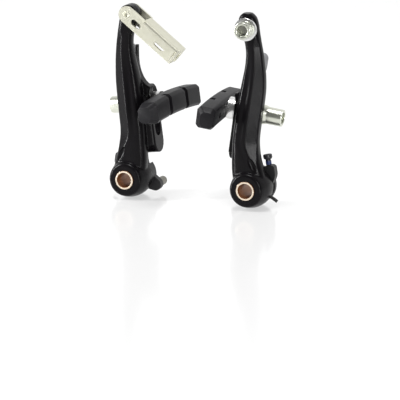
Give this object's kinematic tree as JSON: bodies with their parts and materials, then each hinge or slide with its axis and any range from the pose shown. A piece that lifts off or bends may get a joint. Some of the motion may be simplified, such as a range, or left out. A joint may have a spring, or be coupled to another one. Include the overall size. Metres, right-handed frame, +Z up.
{
  "type": "mini v-brake",
  "caption": "Bicycle rim brake of two slim curved alloy arms on bronze sleeves, with return springs, adjustable rubber pads, a cable anchor bolt and a hinged steel noodle link.",
  "frame": {"origin": "midway between the two pivot axes, on the plane where the sleeves seat on the frame bosses", "axes": "+Z up along the arms, +Y rearwards along the pivots towards the bicycle, +X to the right arm"},
  "size_m": [0.0978, 0.0583, 0.1043],
  "materials": {
    "black_alloy": "gloss black anodised",
    "sintered_bronze": "turned bronze",
    "zinc_steel": "zinc plated",
    "zinc_link": "satin zinc plated",
    "bright_steel": "bright",
    "stopper_steel": "plain steel",
    "black_spring_wire": "black oxide",
    "black_screw": "black oxide with blue thread lock",
    "black_plastic": "moulded",
    "grey_plastic": "moulded",
    "pad_rubber": "matt moulded"
  },
  "bodies": {
    "root": {"left_pivot_sleeve": "sintered_bronze", "left_spring_carrier": "black_plastic", "left_stopper_pin": "stopper_steel", "left_return_spring": "black_spring_wire", "right_pivot_sleeve": "sintered_bronze", "right_spring_carrier": "black_plastic", "right_stopper_pin": "stopper_steel", "right_return_spring": "black_spring_wire"},
    "left_arm": {"left_arm": "black_alloy", "left_spring_guide": "grey_plastic", "link_pin": "zinc_link"},
    "left_tension_screw": {"left_tension_screw": "black_screw"},
    "left_stud_seat": {"left_inner_dome": "bright_steel", "left_outer_dome": "bright_steel"},
    "left_pad_clamp": {"left_inner_cup": "bright_steel", "left_outer_cup": "bright_steel", "left_flat_washer": "bright_steel", "left_pad_nut": "zinc_steel"},
    "left_pad": {"left_brake_pad": "pad_rubber", "left_pad_stud": "zinc_steel"},
    "right_arm": {"right_arm": "black_alloy", "right_spring_guide": "grey_plastic", "anchor_bolt": "zinc_steel", "anchor_washer": "bright_steel"},
    "right_tension_screw": {"right_tension_screw": "black_screw"},
    "right_stud_seat": {"right_inner_dome": "bright_steel", "right_outer_dome": "bright_steel"},
    "right_pad_clamp": {"right_inner_cup": "bright_steel", "right_outer_cup": "bright_steel", "right_flat_washer": "bright_steel", "right_pad_nut": "zinc_steel"},
    "right_pad": {"right_brake_pad": "pad_rubber", "right_pad_stud": "zinc_steel"},
    "noodle_link": {"noodle_link": "zinc_link"}
  },
  "joints": [
    {"name": "left_arm_pivot", "type": "hinge", "parent": "root", "child": "left_arm", "pos_m": [-0.0341, 0, 0], "axis": [0, -1, 0], "range_deg": [-6, 20], "stiffness_Nm_per_rad": 0.5, "deforming": ["left_return_spring"]},
    {"name": "left_tension_adjust", "type": "slide", "parent": "root", "child": "left_tension_screw", "axis": [0.1564, 0, 0.9877], "range_m": [-0.0006, 0.0008]},
    {"name": "left_pad_height", "type": "slide", "parent": "left_arm", "child": "left_stud_seat", "axis": [0.134, 0, -0.991], "range_m": [0, 0.012]},
    {"name": "left_pad_toe_in", "type": "hinge", "parent": "left_stud_seat", "child": "left_pad_clamp", "pos_m": [-0.0275, -0.003, 0.039], "axis": [0.134, 0, -0.991], "range_deg": [-3, 3]},
    {"name": "left_pad_turn", "type": "hinge", "parent": "left_pad_clamp", "child": "left_pad", "pos_m": [-0.0275, -0.003, 0.039], "axis": [0.9886, -0.0698, 0.1337], "range_deg": [-8, 8]},
    {"name": "right_arm_pivot", "type": "hinge", "parent": "root", "child": "right_arm", "pos_m": [0.0341, 0, 0], "axis": [0, 1, 0], "range_deg": [-6, 20], "stiffness_Nm_per_rad": 0.5, "deforming": ["right_return_spring"]},
    {"name": "right_tension_adjust", "type": "slide", "parent": "root", "child": "right_tension_screw", "axis": [-0.1564, 0, 0.9877], "range_m": [-0.0006, 0.0008]},
    {"name": "right_pad_height", "type": "slide", "parent": "right_arm", "child": "right_stud_seat", "axis": [-0.134, 0, -0.991], "range_m": [0, 0.012]},
    {"name": "right_pad_toe_in", "type": "hinge", "parent": "right_stud_seat", "child": "right_pad_clamp", "pos_m": [0.0275, -0.003, 0.039], "axis": [0.134, 0, 0.991], "range_deg": [-3, 3]},
    {"name": "right_pad_turn", "type": "hinge", "parent": "right_pad_clamp", "child": "right_pad", "pos_m": [0.0275, -0.003, 0.039], "axis": [0.9886, 0.0698, -0.1337], "range_deg": [-8, 8]},
    {"name": "link_swing", "type": "hinge", "parent": "left_arm", "child": "noodle_link", "pos_m": [-0.0331, -0.0132, 0.0885], "axis": [0, -1, 0], "range_deg": [-8, 100]}
  ]
}
